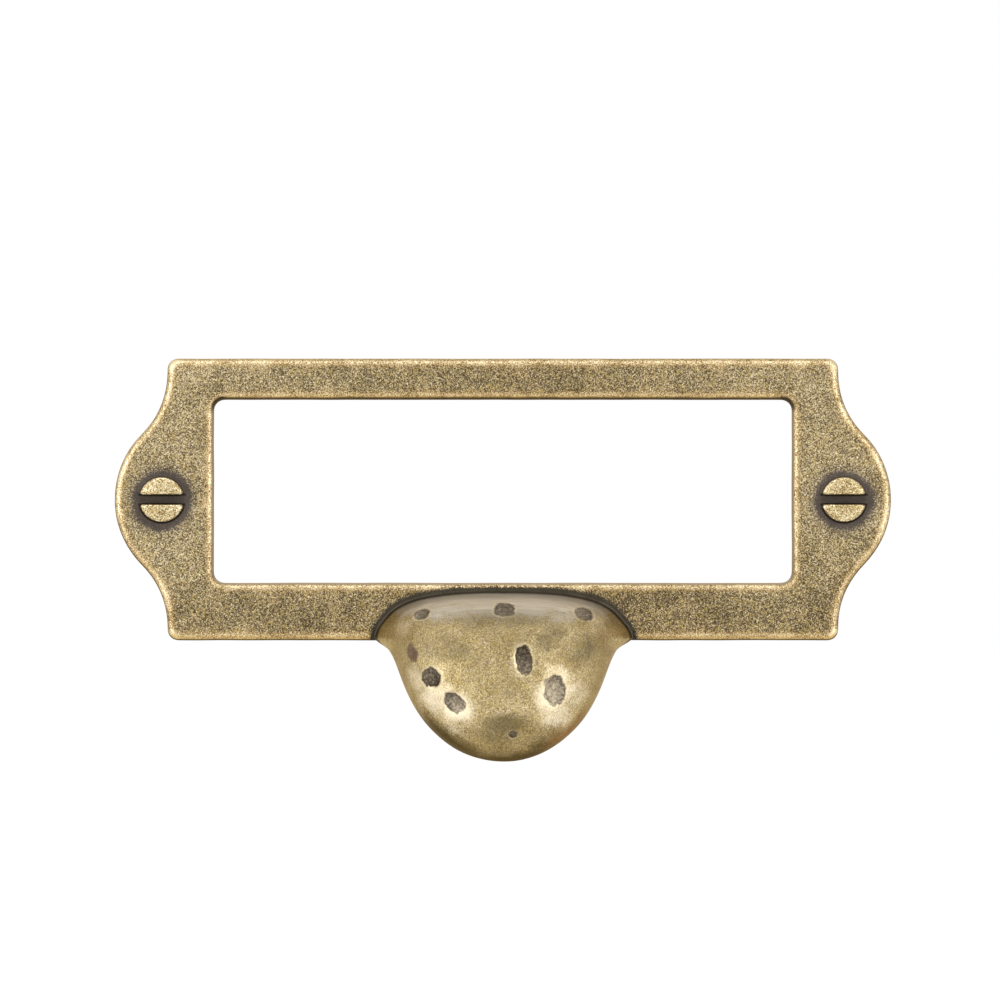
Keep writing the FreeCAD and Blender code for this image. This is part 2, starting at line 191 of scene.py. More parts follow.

# worn pits on the cup: across, up (mm, seen from the front), length, width, turn, squareness,
# tone of the floor, the direction in which it pales away from its painted shade, softness of the outline
pits = [
    (-11.3, -16.0, 2.4, 1.5, 22, 2.0, 0.46, 180, 0.20),
    (0.2, -15.35, 3.0, 1.9, 0, 2.5, 0.42, -90, 0.15),
    (11.3, -16.0, 2.8, 1.8, -20, 2.0, 0.48, 180, 0.15),
    (-12.6, -21.4, 2.8, 1.7, -75, 2.0, 0.26, 180, 0.45),
    (-9.9, -24.75, 3.0, 2.7, -60, 2.2, 0.30, 120, 0.08),
    (-6.7, -28.2, 3.5, 2.5, -40, 2.2, 0.58, -60, 0.08),
    (2.9, -22.3, 4.1, 2.4, -85, 2.7, 0.32, -90, 0.06),
    (7.2, -26.5, 4.3, 3.1, 90, 2.3, 0.76, 200, 0.06),
    (1.4, -32.6, 1.3, 1.2, 0, 2.0, 0.20, 90, 0.40),
]

# pale patches on the cup, worn polish with a painted highlight over it, and painted light on the
# shoulders: across, up, length, width, turn, strength
wearAndHighlightPatches = [
    (-9.9, -24.75, 5.0, 4.6, -60, 0.60),
    (-12.2, -25.0, 6.5, 4.0, -70, 0.62),
    (-14.3, -17.8, 5.5, 5.0, 0, 0.52),
    (13.8, -17.6, 5.5, 5.0, 0, 0.48),
    (-7.9, -26.2, 4.0, 3.4, 0, 0.65),
    (-9.4, -27.6, 8.5, 6.4, -50, 0.80),
    (-6.5, -28.8, 7.6, 6.4, -40, 1.00),
    (-6.4, -31.4, 5.4, 3.8, -35, 0.60),
    (7.8, -24.4, 8.0, 4.4, 0, 0.66),
    (3.6, -29.2, 4.0, 3.0, 0, 0.40),
    (6.6, -27.6, 8.0, 6.6, 80, 0.95),
    (7.4, -30.0, 6.8, 5.2, 25, 0.85),
    (9.8, -27.0, 5.6, 6.4, 90, 0.70),
    (2.4, -22.0, 6.0, 5.0, -85, 0.60),
    (0.0, -29.6, 4.5, 1.6, 8, 0.45),
]

# dark patches of painted shade on the cup, in the same terms
shadePatches = [
    (0.0, -17.6, 24.0, 7.0, 0, 0.68),
    (6.8, -19.2, 8.0, 7.0, 0, 0.75),
    (-8.0, -20.6, 11.0, 7.0, -10, 0.75),
    (10.0, -21.0, 11.0, 7.0, 15, 0.72),
    (14.6, -20.6, 4.5, 4.5, 0, 0.50),
    (0.3, -31.2, 10.0, 4.8, 4, 0.85),
    (-0.8, -32.4, 9.0, 4.8, -3, 0.65),
    (-9.6, -34.0, 13.0, 3.0, -42, 0.75),
    (10.8, -32.8, 8.0, 2.8, 42, 0.40),
    (1.5, -27.2, 2.6, 1.8, 40, 0.40),
]


def remesh(piece, facet):
    skin = piece.modifiers.new("skin", "REMESH")
    skin.mode = "VOXEL"
    skin.voxel_size = facet * mm
    graph = bpy.context.evaluated_depsgraph_get()
    piece.data = bpy.data.meshes.new_from_object(piece.evaluated_get(graph))
    piece.modifiers.clear()


def readEdges(mesh):
    edges = np.empty(len(mesh.edges) * 2, dtype=np.int64)
    mesh.edges.foreach_get("vertices", edges)
    return edges.reshape(-1, 2)


def readPoints(mesh, what):
    values = np.empty(len(mesh.vertices) * 3)
    mesh.vertices.foreach_get(what, values)
    return values.reshape(-1, 3)


def placePoints(mesh, points):
    mesh.vertices.foreach_set("co", points.ravel())
    mesh.update()


def relaxed(points, edges, rounds, pull=0.5):  # each point drawn towards the mean of its neighbours
    first, second = edges.T
    count = np.bincount(edges.ravel(), minlength=len(points))
    for _ in range(rounds):
        mean = np.empty_like(points)
        for axis in range(3):
            mean[:, axis] = (np.bincount(first, points[second, axis], len(points))
                             + np.bincount(second, points[first, axis], len(points))) / count
        points = points + pull * (mean - points)
    return points


def eased(values, low, high):
    share = np.clip((values - low) / (high - low), 0, 1)
    return share * share * (3 - 2 * share)


def hill(values, grow, fade):
    return eased(values, *grow) * (1 - eased(values, *fade))


def noiseAt(points, grain):
    return np.array([noise.noise(Vector(point) / grain) for point in points])


def ovalReach(points, oval, squareness=2.0):  # 1 at the oval's middle, 0 on its outline, less beyond
    across, up, length, width, turn = oval[:5]
    angle = math.radians(turn)
    dx, dz = points[:, 0] - across, points[:, 2] - up
    along = np.abs(dx * math.cos(angle) + dz * math.sin(angle)) / (length / 2)
    aside = np.abs(dz * math.cos(angle) - dx * math.sin(angle)) / (width / 2)
    return 1 - (along ** squareness + aside ** squareness) ** (1 / squareness)


def patched(points, patches):  # the strongest of the soft patches at each point
    return np.max([patch[5] * eased(ovalReach(points, patch), -0.15, 0.75) for patch in patches], axis=0)


def softenedSkin(piece):
    # fine facets with rounded edges, then coarser ones on the same surface; gives the points in mm
    body = bmesh.new()
    body.from_mesh(piece.data)
    bmesh.ops.remove_doubles(body, verts=body.verts, dist=castingSkin["weld"] * mm)
    body.to_mesh(piece.data)
    body.free()
    remesh(piece, castingSkin["fineFacet"])
    mesh = piece.data
    placePoints(mesh, relaxed(readPoints(mesh, "co"), readEdges(mesh), castingSkin["softening"]))
    body = bmesh.new()
    body.from_mesh(mesh)
    surface = BVHTree.FromBMesh(body)
    body.free()
    remesh(piece, castingSkin["facet"])
    return np.array([surface.find_nearest(point)[0] for point in readPoints(piece.data, "co")]) / mm


def flared(points):
    x, y, z = points.T
    heel = hill(-z, *cupFlare["down"]) * hill(-y, *cupFlare["forward"])
    heel *= hill(np.abs(x), *cupFlare["aside"])
    left, right = cupFlare["reach"]
    points[:, 0] += heel * np.where(x < 0, -left, right)
    return points


def footGaps(points, cup):  # distance, seen from the front, from the foot of the cup
    x, y, z = points.T
    foot = points[cup & (y > cupPlace["footRow"]) & (y < cupPlace["foot"])]
    tree = kdtree.KDTree(len(foot))
    for number, point in enumerate(foot):
        tree.insert((point[0], 0, point[2]), number)
    tree.balance()
    near = (np.abs(x) < cupPlace["nearHalf"]) & (z < cupPlace["nearTop"])
    gaps = np.full(len(points), plainTraits["footGap"])
    gaps[near] = [tree.find((point[0], 0, point[2]))[2] for point in points[near]]
    return gaps


def pitTraits(points, front):  # reach into the nearest pit, the tone of its floor and its softness
    reached = np.full(len(points), plainTraits["pit"])
    floorTone = np.zeros(len(points))
    outlineSoft = np.zeros(len(points))
    for pit in pits:
        across, up, length, width, turn, squareness, tone, paling, softness = pit
        reach = ovalReach(points, pit, squareness)
        reach[~front] = plainTraits["pit"]
        angle = math.radians(paling)
        towards = (points[:, 0] - across) * math.cos(angle) + (points[:, 2] - up) * math.sin(angle)
        nearer = reach > reached
        # floor tone plus painted shade, darker on the side opposite the paling direction
        floorTone[nearer] = (tone + castingSkin["pitShadeSlope"] * towards / length)[nearer]
        outlineSoft[nearer] = softness
        reached = np.maximum(reached, reach)
    return reached, floorTone, outlineSoft


def makeCasting():
    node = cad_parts["frame_pull_casting"]
    piece = bpy.data.objects.new("castFramePull", node.data.copy())
    bpy.context.scene.collection.objects.link(piece)
    points = flared(softenedSkin(piece))
    mesh = piece.data
    placePoints(mesh, points * mm)
    normals = readPoints(mesh, "normal")
    x, y, z = points.T

    # the cup, its outer side and its hollow
    span = (np.abs(x) < cupPlace["halfWidth"]) & (z < cupPlace["top"])
    cup = ((y < cupPlace["foot"]) | (z < cupPlace["underPlate"])) & span
    facing = -normals[:, 1] + cupPlace["sideways"] * np.sign(x) * normals[:, 0]
    outside = eased(facing, *cupPlace["outward"]) * cup
    within = np.maximum(eased(-y, *cupPlace["hollowDepth"]), eased(-z, *cupPlace["hollowDrop"])) * span
    front = cup & (normals[:, 1] < cupPlace["pitSlope"]) & (y < cupPlace["pitDepth"])
    pitReach, pitTone, pitSoft = pitTraits(points, front)

    # how far the skin bulges (above 0) or dips (below 0)
    level = relaxed(points, readEdges(mesh), castingSkin["bulgeRounds"])
    bulge = np.einsum("ij,ij->i", points - level, normals) / castingSkin["fullBulge"]

    wave = noiseAt(points, castingSkin["wavePatch"]) * castingSkin["waviness"]
    wave *= y < -castingSkin["evenBack"]
    rough = noiseAt(points, castingSkin["pitGrain"]) * castingSkin["pitRoughness"]
    rough *= eased(pitReach, -0.05, 0.3)
    placePoints(mesh, (points + normals * (wave + rough)[:, None]) * mm)
    traits = {
        "bulge": bulge, "footGap": footGaps(points, cup), "cup": outside, "hollow": within * (1 - outside),
        "pit": pitReach, "pitTone": pitTone, "pitSoft": pitSoft,
        "pale": patched(points, wearAndHighlightPatches) * outside, "dull": patched(points, shadePatches) * outside,
    }
    for name, values in traits.items():
        mesh.attributes.new(name, "FLOAT", "POINT").data.foreach_set("value", values.astype(np.float32))
    mesh.polygons.foreach_set("use_smooth", [True] * len(mesh.polygons))
    mesh.update()
    print("casting skin:", len(mesh.vertices), "points,", len(mesh.polygons), "facets")
    return piece


# aged brass: rubbed gold flecks over brown, bright edges, near-black patina and painted shadow in the
# corners, painted light and shade where the form turns;
# pairs of numbers are ranges over which something comes or goes, in mm where they are places

agedBrass = {
    "grain": 0.18,          # mm
    "patch": 2.6,           # mm
    "faceDepth": 4.0,       # mm, frame's face from the back
    "frontDepth": (-3.2, -2.9),
    "frontSlope": (-0.2, 0.2),
    "headSpread": 48.0,     # mm, heads from the middle
    "roughness": 0.40,
    "metallic": 0.95,
    "bumpStrength": 0.25,
    "bumpDepth": 0.05,      # mm
    "glancing": paint(222, 206, 180),
}


def readSkin(board):  # the places, slopes and traits that the finish depends on
    at = SimpleNamespace()
    at.place = board.node("VectorMath", {"operation": "SCALE"},
                          {0: board.node("TexCoord", output="Object"), "Scale": 1 / mm})
    axes = board.node("SeparateXYZ", inputs={0: at.place})
    at.x, at.y, at.z = axes, axes.other("Y"), axes.other("Z")
    at.aside = board.maths("ABSOLUTE", at.x)
    at.depth = at.y + agedBrass["faceDepth"]
    slope = board.node("SeparateXYZ", inputs={0: board.node("NewGeometry", output="Normal")})
    at.sideways = board.maths("ABSOLUTE", slope)
    at.backward, at.upward = slope.other("Y"), slope.other("Z")
    at.front = (board.fall(at.y, *agedBrass["frontDepth"])
                * board.fall(at.backward, *agedBrass["frontSlope"]))
    for name in ("bulge", "footGap", "cup", "pit", "pitTone", "pitSoft", "pale", "dull", "hollow"):
        setattr(at, name, board.trait(name))
    at.patch = board.cloud(at.place, agedBrass["patch"], 3, 0.55)
    at.grain = board.cloud(at.place, agedBrass["grain"], 1, 0.5)
    at.patchSwing = at.patch - 0.5
    at.grainSwing = at.grain - 0.5
    return at


speckleFinish = {
    "level": 0.385,                 # overall brightness
    "ramp": [(0.00, paint(68, 57, 38)), (0.25, paint(107, 92, 64)), (0.50, paint(147, 131, 96)),
             (0.75, paint(190, 174, 136)), (1.00, paint(242, 227, 191))],
    "strokeTurns": (25, 80, 140),   # degrees
    "strokeSize": (0.48, 0.115),    # mm
    # painted light and shade over the plate and the cup's lower part, in mm
    "litEnds": (8, 46),
    "shadedRail": (-17, -9),
    "litCorner": ((-44, -38), (4, 9)),   # across, up
    "shadedCorner": ((36, 44), (-8, -1)),
    "shadedCupBottom": (-35.0, -28.5),
    "dullRear": (0.2, 0.8),         # slope
    "gold": paint(188, 161, 92),
    "umber": paint(116, 97, 84),
    "hueGrain": 0.32,               # mm
    "dusk": paint(122, 104, 84),
    "duskPatch": 1.3,               # mm
    "scratch": paint(236, 218, 172),
    "scratchTurn": 48,              # degrees
    "scratchSize": (3.2, 0.12),     # mm
}


def speckle(board, at):
    # rubbed strokes and grain; painted light makes the ends brighter, painted shade darkens the lower rail
    # and the cup's lower part
    use = speckleFinish
    strokes = [board.strokes(at.place, turn, *use["strokeSize"]) for turn in use["strokeTurns"]]
    light = board.rise(board.most(*strokes), 0.58, 0.70)
    dark = board.fall(board.least(*strokes), 0.30, 0.42)
    speck = board.rise(at.grain, 0.36, 0.64)
    broad = board.cloud(at.place, agedBrass["patch"] * 4, 2, 0.5)
    leftSide, upper = use["litCorner"]
    rightSide, lower = use["shadedCorner"]
    # painted light and shade: brighter ends and upper left corner, darker lower rail and lower right
    # corner
    paintedLight = board.rise(at.aside, *use["litEnds"]) * 0.15 - 0.03
    paintedLight = paintedLight - board.fall(at.z, *use["shadedRail"]) * (1 - at.cup) * 0.12
    paintedLight = paintedLight + board.fall(at.x, *leftSide) * board.rise(at.z, *upper) * 0.07
    paintedLight = paintedLight - board.rise(at.x, *rightSide) * board.fall(at.z, *lower) * 0.09
    # painted shade on the lower part of the cup, which turns down
    low = at.cup * board.fall(at.z + at.patchSwing * 4, *use["shadedCupBottom"])
    rear = board.rise(at.backward, *use["dullRear"])
    at.fleck = (speck - 0.5) * (0.60 - at.cup * 0.34) + (light - dark) * (0.36 - at.cup * 0.10)
    at.tone = (use["level"] + at.fleck + at.patchSwing * (0.42 + at.cup * 0.20) + (broad - 0.5) * 0.28
               + paintedLight + at.cup * 0.26 - low * 0.26 - rear * 0.14)
    colour = board.node("ValToRGB", {"stops": use["ramp"]}, {0: at.tone})
    hue = board.cloud(at.place, use["hueGrain"], 1, 0.5)
    colour = board.tint(colour, use["gold"], board.rise(hue, 0.54, 0.72) * 0.50 + at.cup * 0.20)
    colour = board.tint(colour, use["umber"], board.fall(hue, 0.28, 0.46) * 0.46)
    dusk = board.rise(board.cloud(at.place, use["duskPatch"], 3, 0.6), 0.54, 0.70)
    colour = board.tint(colour, use["dusk"], dusk * (0.30 + at.cup * 0.15))
    scratch = board.strokes(at.place, use["scratchTurn"], *use["scratchSize"])
    return board.tint(colour, use["scratch"], board.rise(scratch, 0.75, 0.81) * 0.75)


edgeFinish = {
    "warm": paint(188, 150, 90),
    "bright": paint(245, 227, 187),
    # painted shade on rubbed edges that face down
    "brightShadedUnder": paint(217, 186, 118),
    # the walls' colours are painted reflection and shade: lighter facing up, darker facing down and deeper
    # in; the window corner is a painted shadow
    "outer": paint(96, 80, 62),
    "outerTop": paint(190, 169, 122),
    "outerUnder": paint(58, 47, 34),
    "window": paint(152, 139, 118),
    "windowLitSill": paint(176, 162, 135),
    "windowShadedUnder": paint(54, 44, 38),
    "windowShadedRear": paint(92, 80, 68),
    "windowCornerShadow": paint(36, 29, 27),
    "windowAside": (42.2, 42.6),
    "windowBottom": (-13.6, -13.2),
    "windowTop": (15.5, 15.9),
    "windowSlope": (0.1, 0.4),
    "cornerAside": (38.6, 39.8),
    "cornerUp": (12.0, 13.2),
    "rearDepth": (0.85, 1.1),
    "wallDepth": 0.52,              # mm behind the face, where the walls' colour starts
}


def rubbedEdgesAndShadedWalls(board, at, colour):
    # front edges rubbed bright, with painted shade where they face down; painted reflection and shade on
    # the walls: grey in the window and brown outside, lighter facing up, darker facing down, deeper in and
    # in the window's upper corners
    use = edgeFinish
    plate = 1 - at.cup
    worn = at.bulge + at.grainSwing + at.patchSwing * 0.6
    colour = board.tint(colour, use["warm"], board.rise(worn, 0.02, 0.35) * plate * 0.35)
    at.edge = board.rise(worn, 0.22, 0.85) * plate
    topSide = board.rise(at.upward, 0.3, 0.7)
    underSide = board.fall(at.upward, -0.6, -0.1)
    # painted shade on rubbed edges that face down
    edgeColour = board.tint(use["bright"], use["brightShadedUnder"], underSide)
    colour = board.tint(colour, edgeColour, at.edge * 0.88)
    # painted light and shade on the walls: lighter facing up, darker facing down, deeper in and in the
    # window's upper corners
    outerWall = board.tint(use["outer"], use["outerTop"], topSide)
    outerWall = board.tint(outerWall, use["outerUnder"], underSide)
    window = board.fall(at.aside, *use["windowAside"]) * board.rise(at.z, *use["windowBottom"])
    window = window * board.fall(at.z, *use["windowTop"]) * board.fall(at.backward, *use["windowSlope"])
    windowWallShade = board.tint(use["window"], use["windowLitSill"], topSide)
    windowWallShade = board.tint(windowWallShade, use["windowShadedUnder"], underSide)
    rear = board.rise(at.depth, *use["rearDepth"]) * (1 - topSide)
    windowWallShade = board.tint(windowWallShade, use["windowShadedRear"], rear * 0.8)
    corner = board.rise(at.aside, *use["cornerAside"]) * board.rise(at.z, *use["cornerUp"]) * window
    windowWallShade = board.tint(windowWallShade, use["windowCornerShadow"], corner * 0.9)
    sooner = (window + underSide * (0.6 - window * 0.35) + corner * 0.6) * 0.26
    wall = board.rise(at.depth + at.grainSwing * 0.2 - use["wallDepth"] + sooner, 0.0, 0.2) * plate
    return board.tint(colour, board.tint(outerWall, windowWallShade, window), wall * (1 - at.hollow) * 0.9)


headFinish = {
    "ramp": [(0.05, paint(104, 82, 46)), (0.35, paint(164, 142, 94)), (0.60, paint(202, 182, 136)),
             (0.95, paint(248, 238, 212))],
    "level": 0.48,                  # brightness of the tops
    "topDepth": (-4.55, -4.35),
    "plateDepth": (-3.6, -3.3),
    "ringDark": paint(70, 63, 58),
    "ringPale": paint(96, 87, 81),
    "ringInner": paint(48, 43, 40),
    "ringDrop": 0.2,                # mm that the ring lies lower than the head
    "slot": paint(50, 45, 38),
    # how far out from a head's middle
    "slotReach": (3.0, 3.3),
    "topReach": (3.3, 3.5),
    "contactReach": (3.30, 3.52),
    "innerReach": (3.4, 4.1),
    "ringReach": (3.95, 4.75),
    "haloReach": (4.2, 6.2),
}


def castHeads(board, at, colour):
    # pale rubbed tops with a painted highlight towards the upper left, inside a ring of patina; a black
    # painted contact shadow where they meet the plate from below
    use = headFinish
    fromHead = at.aside - agedBrass["headSpread"]
    toRight = fromHead * board.maths("SIGN", at.x)
    radius = board.maths("SQRT", fromHead * fromHead + at.z * at.z)
    top = board.fall(at.y, *use["topDepth"]) * board.fall(radius, *use["topReach"])
    lit = board.rise(at.z - toRight * 0.7, -1.0, 3.2)
    topTone = use["level"] + at.fleck * 0.80 + at.patchSwing * 0.6 + lit * 0.10
    topTone = topTone - board.rise(at.x, -1, 1) * 0.06  # the right head is a little darker
    colour = board.tint(colour, board.node("ValToRGB", {"stops": use["ramp"]}, {0: topTone}), top)
    around = board.fall(at.y, *use["plateDepth"]) * (1 - top)
    lower = at.z + use["ringDrop"]
    reach = board.maths("SQRT", fromHead * fromHead + lower * lower)
    reach = reach + at.grainSwing * 1.5 + at.patchSwing * 0.8
    ring = board.fall(reach, *use["ringReach"]) * 0.65 + board.fall(reach, *use["haloReach"]) * 0.35
    at.ring = ring * around
    level = board.maths("ABSOLUTE", at.z)
    # painted contact shadow, only along the lower side of each head
    below = 1 - board.rise(level, 0.75, 0.95) * board.rise(at.z, -1.6, 0.4)
    at.contact = board.fall(radius, *use["contactReach"]) * around * board.rise(level, 0.45, 0.62) * below
    ringColour = board.tint(use["ringDark"], use["ringPale"], at.patch)
    ringColour = board.tint(ringColour, use["ringInner"], board.fall(reach, *use["innerReach"]) * 0.3)
    colour = board.tint(colour, ringColour, at.ring * 0.97)
    return board.tint(colour, use["slot"], board.fall(radius, *use["slotReach"]) * around * 0.4)


footFinish = {
    "bandDark": paint(48, 44, 37),
    "bandPale": paint(72, 66, 56),
    "bandHeel": paint(36, 32, 27),
    "bandReach": (0.75, 1.35),      # from the foot
    "bandTop": (-12.5, -12.1),
    "heel": (-19.4, -16.6),
    # painted highlight on the fillet beside the crease
    "line": paint(128, 118, 100),
    "lineStart": (0.20, 0.30),      # from the foot
    "lineEnd": (0.32, 0.46),
    "lineAside": (9, 16),
    # the brow's colours are a painted reflection, browShade a painted shade near the crease
    "browDark": paint(172, 163, 149),
    "browPale": paint(234, 227, 215),
    "browShade": paint(104, 97, 86),
    "browSlope": (0.65, 0.96),
    "browStreak": (5.0, 0.5),       # mm
    "browShadeDepth": (-8.5, -5.2),
    # painted shadow in the crease
    "creaseShadow": paint(24, 22, 18),
    "creaseReach": (0.02, 0.18),    # from the foot
    "creaseDepth": (-5.2, -4.3),
    "creaseBottom": (-20.2, -19.9),
}


def cupFoot(board, at, colour):
    # a dark band of patina on the plate, a faint painted highlight on the fillet, a black painted shadow
    # in the crease, a grey painted reflection on the cup's upward-facing brow with painted shade near the
    # crease
    use = footFinish
    onFace = (1 - at.cup) * (1 - at.hollow) * at.front
    heel = board.fall(at.z, *use["heel"])
    reach = at.footGap + at.grainSwing * 0.6 + at.patchSwing * 0.4 + heel * 0.05
    band = board.fall(reach, *use["bandReach"]) * onFace
    band = band * board.fall(at.z + at.grainSwing * 0.5, *use["bandTop"])
    bandColour = board.tint(use["bandDark"], use["bandPale"], at.patch)
    bandColour = board.tint(bandColour, use["bandHeel"], heel * 0.8)
    colour = board.tint(colour, bandColour, band * 0.97)
    # painted highlight: a faint pale line on the fillet near the crease
    line = board.rise(at.footGap, *use["lineStart"]) * board.fall(at.footGap, *use["lineEnd"]) * onFace
    line = line * board.rise(at.aside + at.patchSwing * 8, *use["lineAside"])
    colour = board.tint(colour, use["line"], line * (0.05 + at.patch * 0.6))
    # painted reflection: the cup's upward-facing brow turns grey
    browReflection = at.upward + at.grainSwing * 0.45 + at.patchSwing * 0.45
    browReflection = board.rise(browReflection, *use["browSlope"]) * at.cup
    streak = board.strokes(at.place, 0, *use["browStreak"])
    browReflectionColour = board.tint(use["browDark"], use["browPale"], streak)
    colour = board.tint(colour, browReflectionColour, browReflection * (0.66 + at.patch * 0.3 - at.fleck * 0.5))
    # painted shade on the brow near the crease
    colour = board.tint(colour, use["browShade"], browReflection * board.rise(at.y, *use["browShadeDepth"]) * 0.6)
    # painted shadow in the crease at the cup's foot
    creaseShadow = board.fall(at.footGap, *use["creaseReach"]) * at.front
    creaseShadow = creaseShadow * board.rise(at.y + at.grain * 0.5, *use["creaseDepth"])
    creaseShadow = creaseShadow * board.rise(at.z, *use["creaseBottom"])
    at.patina = board.most(at.ring, band)
    return board.tint(colour, use["creaseShadow"], board.most(creaseShadow, at.contact) * 0.92)


cupFinish = {
    "flankShade": paint(128, 108, 76),
    "flankSlope": (0.75, 1.0),
    "flankUp": (-21, -16),
    "dull": paint(82, 70, 45),
    "lipTop": -20.35,               # mm, where the lip leaves the back of the plate
    "lipSlant": (0.619, 0.786),     # forward of the lip: share of up and of forward
    "lipSides": (2, 8),             # the rim narrows towards the sides
    # painted shade on the lip's rim, which turns down; rimCopper is its warmer tone
    "rim": paint(56, 43, 23),
    "rimCopper": paint(118, 74, 36),
    "rimReach": (1.1, 5.2),
    "rimUp": (-32.0, -27.5),
    "copperAcross": (4, 10),
    "wornHighlight": paint(250, 236, 207),
    "hollow": paint(92, 79, 54),
}


def cupWear(board, at, colour):
    # painted shade on the sides, the rim and in patches; pale worn patches with painted highlights; a dull
    # hollow
    use = cupFinish
    # painted shade on the cup's sideways-facing flanks
    flankShade = board.rise(at.sideways + at.patchSwing * 0.3, *use["flankSlope"]) * at.cup
    colour = board.tint(colour, use["flankShade"], flankShade * board.fall(at.z, *use["flankUp"]) * 0.4)
    uneven = at.patchSwing * 0.8 + at.grainSwing * 0.5
    # painted shade on the cup's upper sides and towards its bottom
    dull = at.dull * board.rise(at.dull + uneven * 1.3, 0.05, 0.85)
    colour = board.tint(colour, use["dull"], dull * 0.80)
    # painted shade along the rim of the lip, which turns down, warmer to the right
    up, forward = use["lipSlant"]
    lipGap = (at.z - use["lipTop"]) * up - at.y * forward
    lipGap = lipGap - board.rise(at.aside, *use["lipSides"]) * 2.4
    rim = at.cup * board.fall(lipGap + uneven * 4, *use["rimReach"])
    rim = rim * board.fall(at.z + uneven * 2, *use["rimUp"])
    copper = board.rise(at.x + at.patchSwing * 6, *use["copperAcross"])
    rimShadeColour = board.tint(use["rim"], use["rimCopper"], copper)
    colour = board.tint(colour, rimShadeColour, rim * (0.88 - board.rise(at.x, *use["copperAcross"]) * 0.22))
    # pale patches: worn polish with a painted highlight, and painted light on the shoulders
    wornHighlight = at.pale * board.rise(at.pale + uneven * 1.7, 0.10, 1.0)
    colour = board.tint(colour, use["wornHighlight"], wornHighlight * 0.77)
    return board.tint(colour, use["hollow"], at.hollow * 0.6)


pitFinish = {
    "ramp": [(0.0, paint(50, 43, 31)), (0.45, paint(109, 98, 85)), (1.0, paint(192, 180, 154))],
    "outlineGrain": 0.8,            # mm
    "floorGrain": 0.38,             # mm
    "rim": paint(222, 206, 168),
    "stain": paint(112, 84, 72),
    "stainSoftness": (0.41, 0.44),  # only the softest pit is a stain
}


def wornPits(board, at, colour):
    # rough floors from near black to grey, with thin bright rims; painted shade on one side and on the
    # inner wall; the soft ones fade out
    use = pitFinish
    ragged = at.pit + (board.cloud(at.place, use["outlineGrain"], 3, 0.6) - 0.5) * 0.65
    ragged = ragged + at.grainSwing * 0.12
    at.hole = board.rise(ragged + at.pitSoft * 0.2, -0.04, 0.10 + at.pitSoft * 0.8)
    rim = board.rise(ragged, -0.26, -0.10) * board.fall(ragged, -0.05, 0.05)
    rim = rim * board.fall(at.pitSoft, 0.2, 0.6)
    colour = board.tint(colour, use["rim"], rim * (board.rise(at.patch, 0.35, 0.65) * 0.45 + 0.12))
    floorTone = at.pitTone + (board.cloud(at.place, use["floorGrain"], 3, 0.7) - 0.5) * 1.7
    inward = board.rise(ragged, 0.05, 0.35)  # painted shade: the wall inside the outline is darker than the floor
    floorTone = floorTone - (1 - inward) * 0.24
    floor = board.node("ValToRGB", {"stops": use["ramp"]}, {0: floorTone})
    floor = board.tint(floor, use["stain"], board.rise(at.pitSoft, *use["stainSoftness"]) * 0.6)
    return board.tint(colour, floor, at.hole * (1 - at.pitSoft * 0.3))


def makeAgedBrass():
    material = bpy.data.materials.new("agedBrass")
    board = Board(material)
    at = readSkin(board)
    colour = speckle(board, at)
    for finish in (rubbedEdgesAndShadedWalls, castHeads, cupFoot, cupWear, wornPits):
        colour = finish(board, at, colour)
    roughness = agedBrass["roughness"] + (1 - at.tone) * 0.12 + at.patina * 0.12
    roughness = roughness + at.hole * 0.15 - at.edge * 0.06
    metallic = agedBrass["metallic"] - at.patina * 0.2 - at.hole * 0.2
    height = at.tone * 0.6 + at.patch * 0.5 - at.hole * 0.4
    bump = board.node("Bump", inputs={"Strength": agedBrass["bumpStrength"],
                                      "Distance": agedBrass["bumpDepth"] * mm, "Height": height})
    surface = board.node("BsdfPrincipled", inputs={
        "Base Color": colour, "Roughness": roughness, "Metallic": metallic, "Normal": bump,
        "Specular Tint": agedBrass["glancing"]})
    board.node("OutputMaterial", inputs={"Surface": surface})
    print("aged brass:", len(board.tree.nodes), "nodes")
    return material


# helical ridges of the two tapped holes in the back

rearThread = {
    "pitch": 0.7,           # mm
    "diameter": 4.0,        # mm
    "height": 0.38,         # mm
    "halfFoot": 0.42,       # of a pitch, half the width of the ridge's foot
    "start": 0.35,          # mm in from the back
    "end": 3.1,             # mm in from the back
    "stepsPerTurn": 36,
    "runOut": 9,            # steps over which the ridge dies away at each end
}


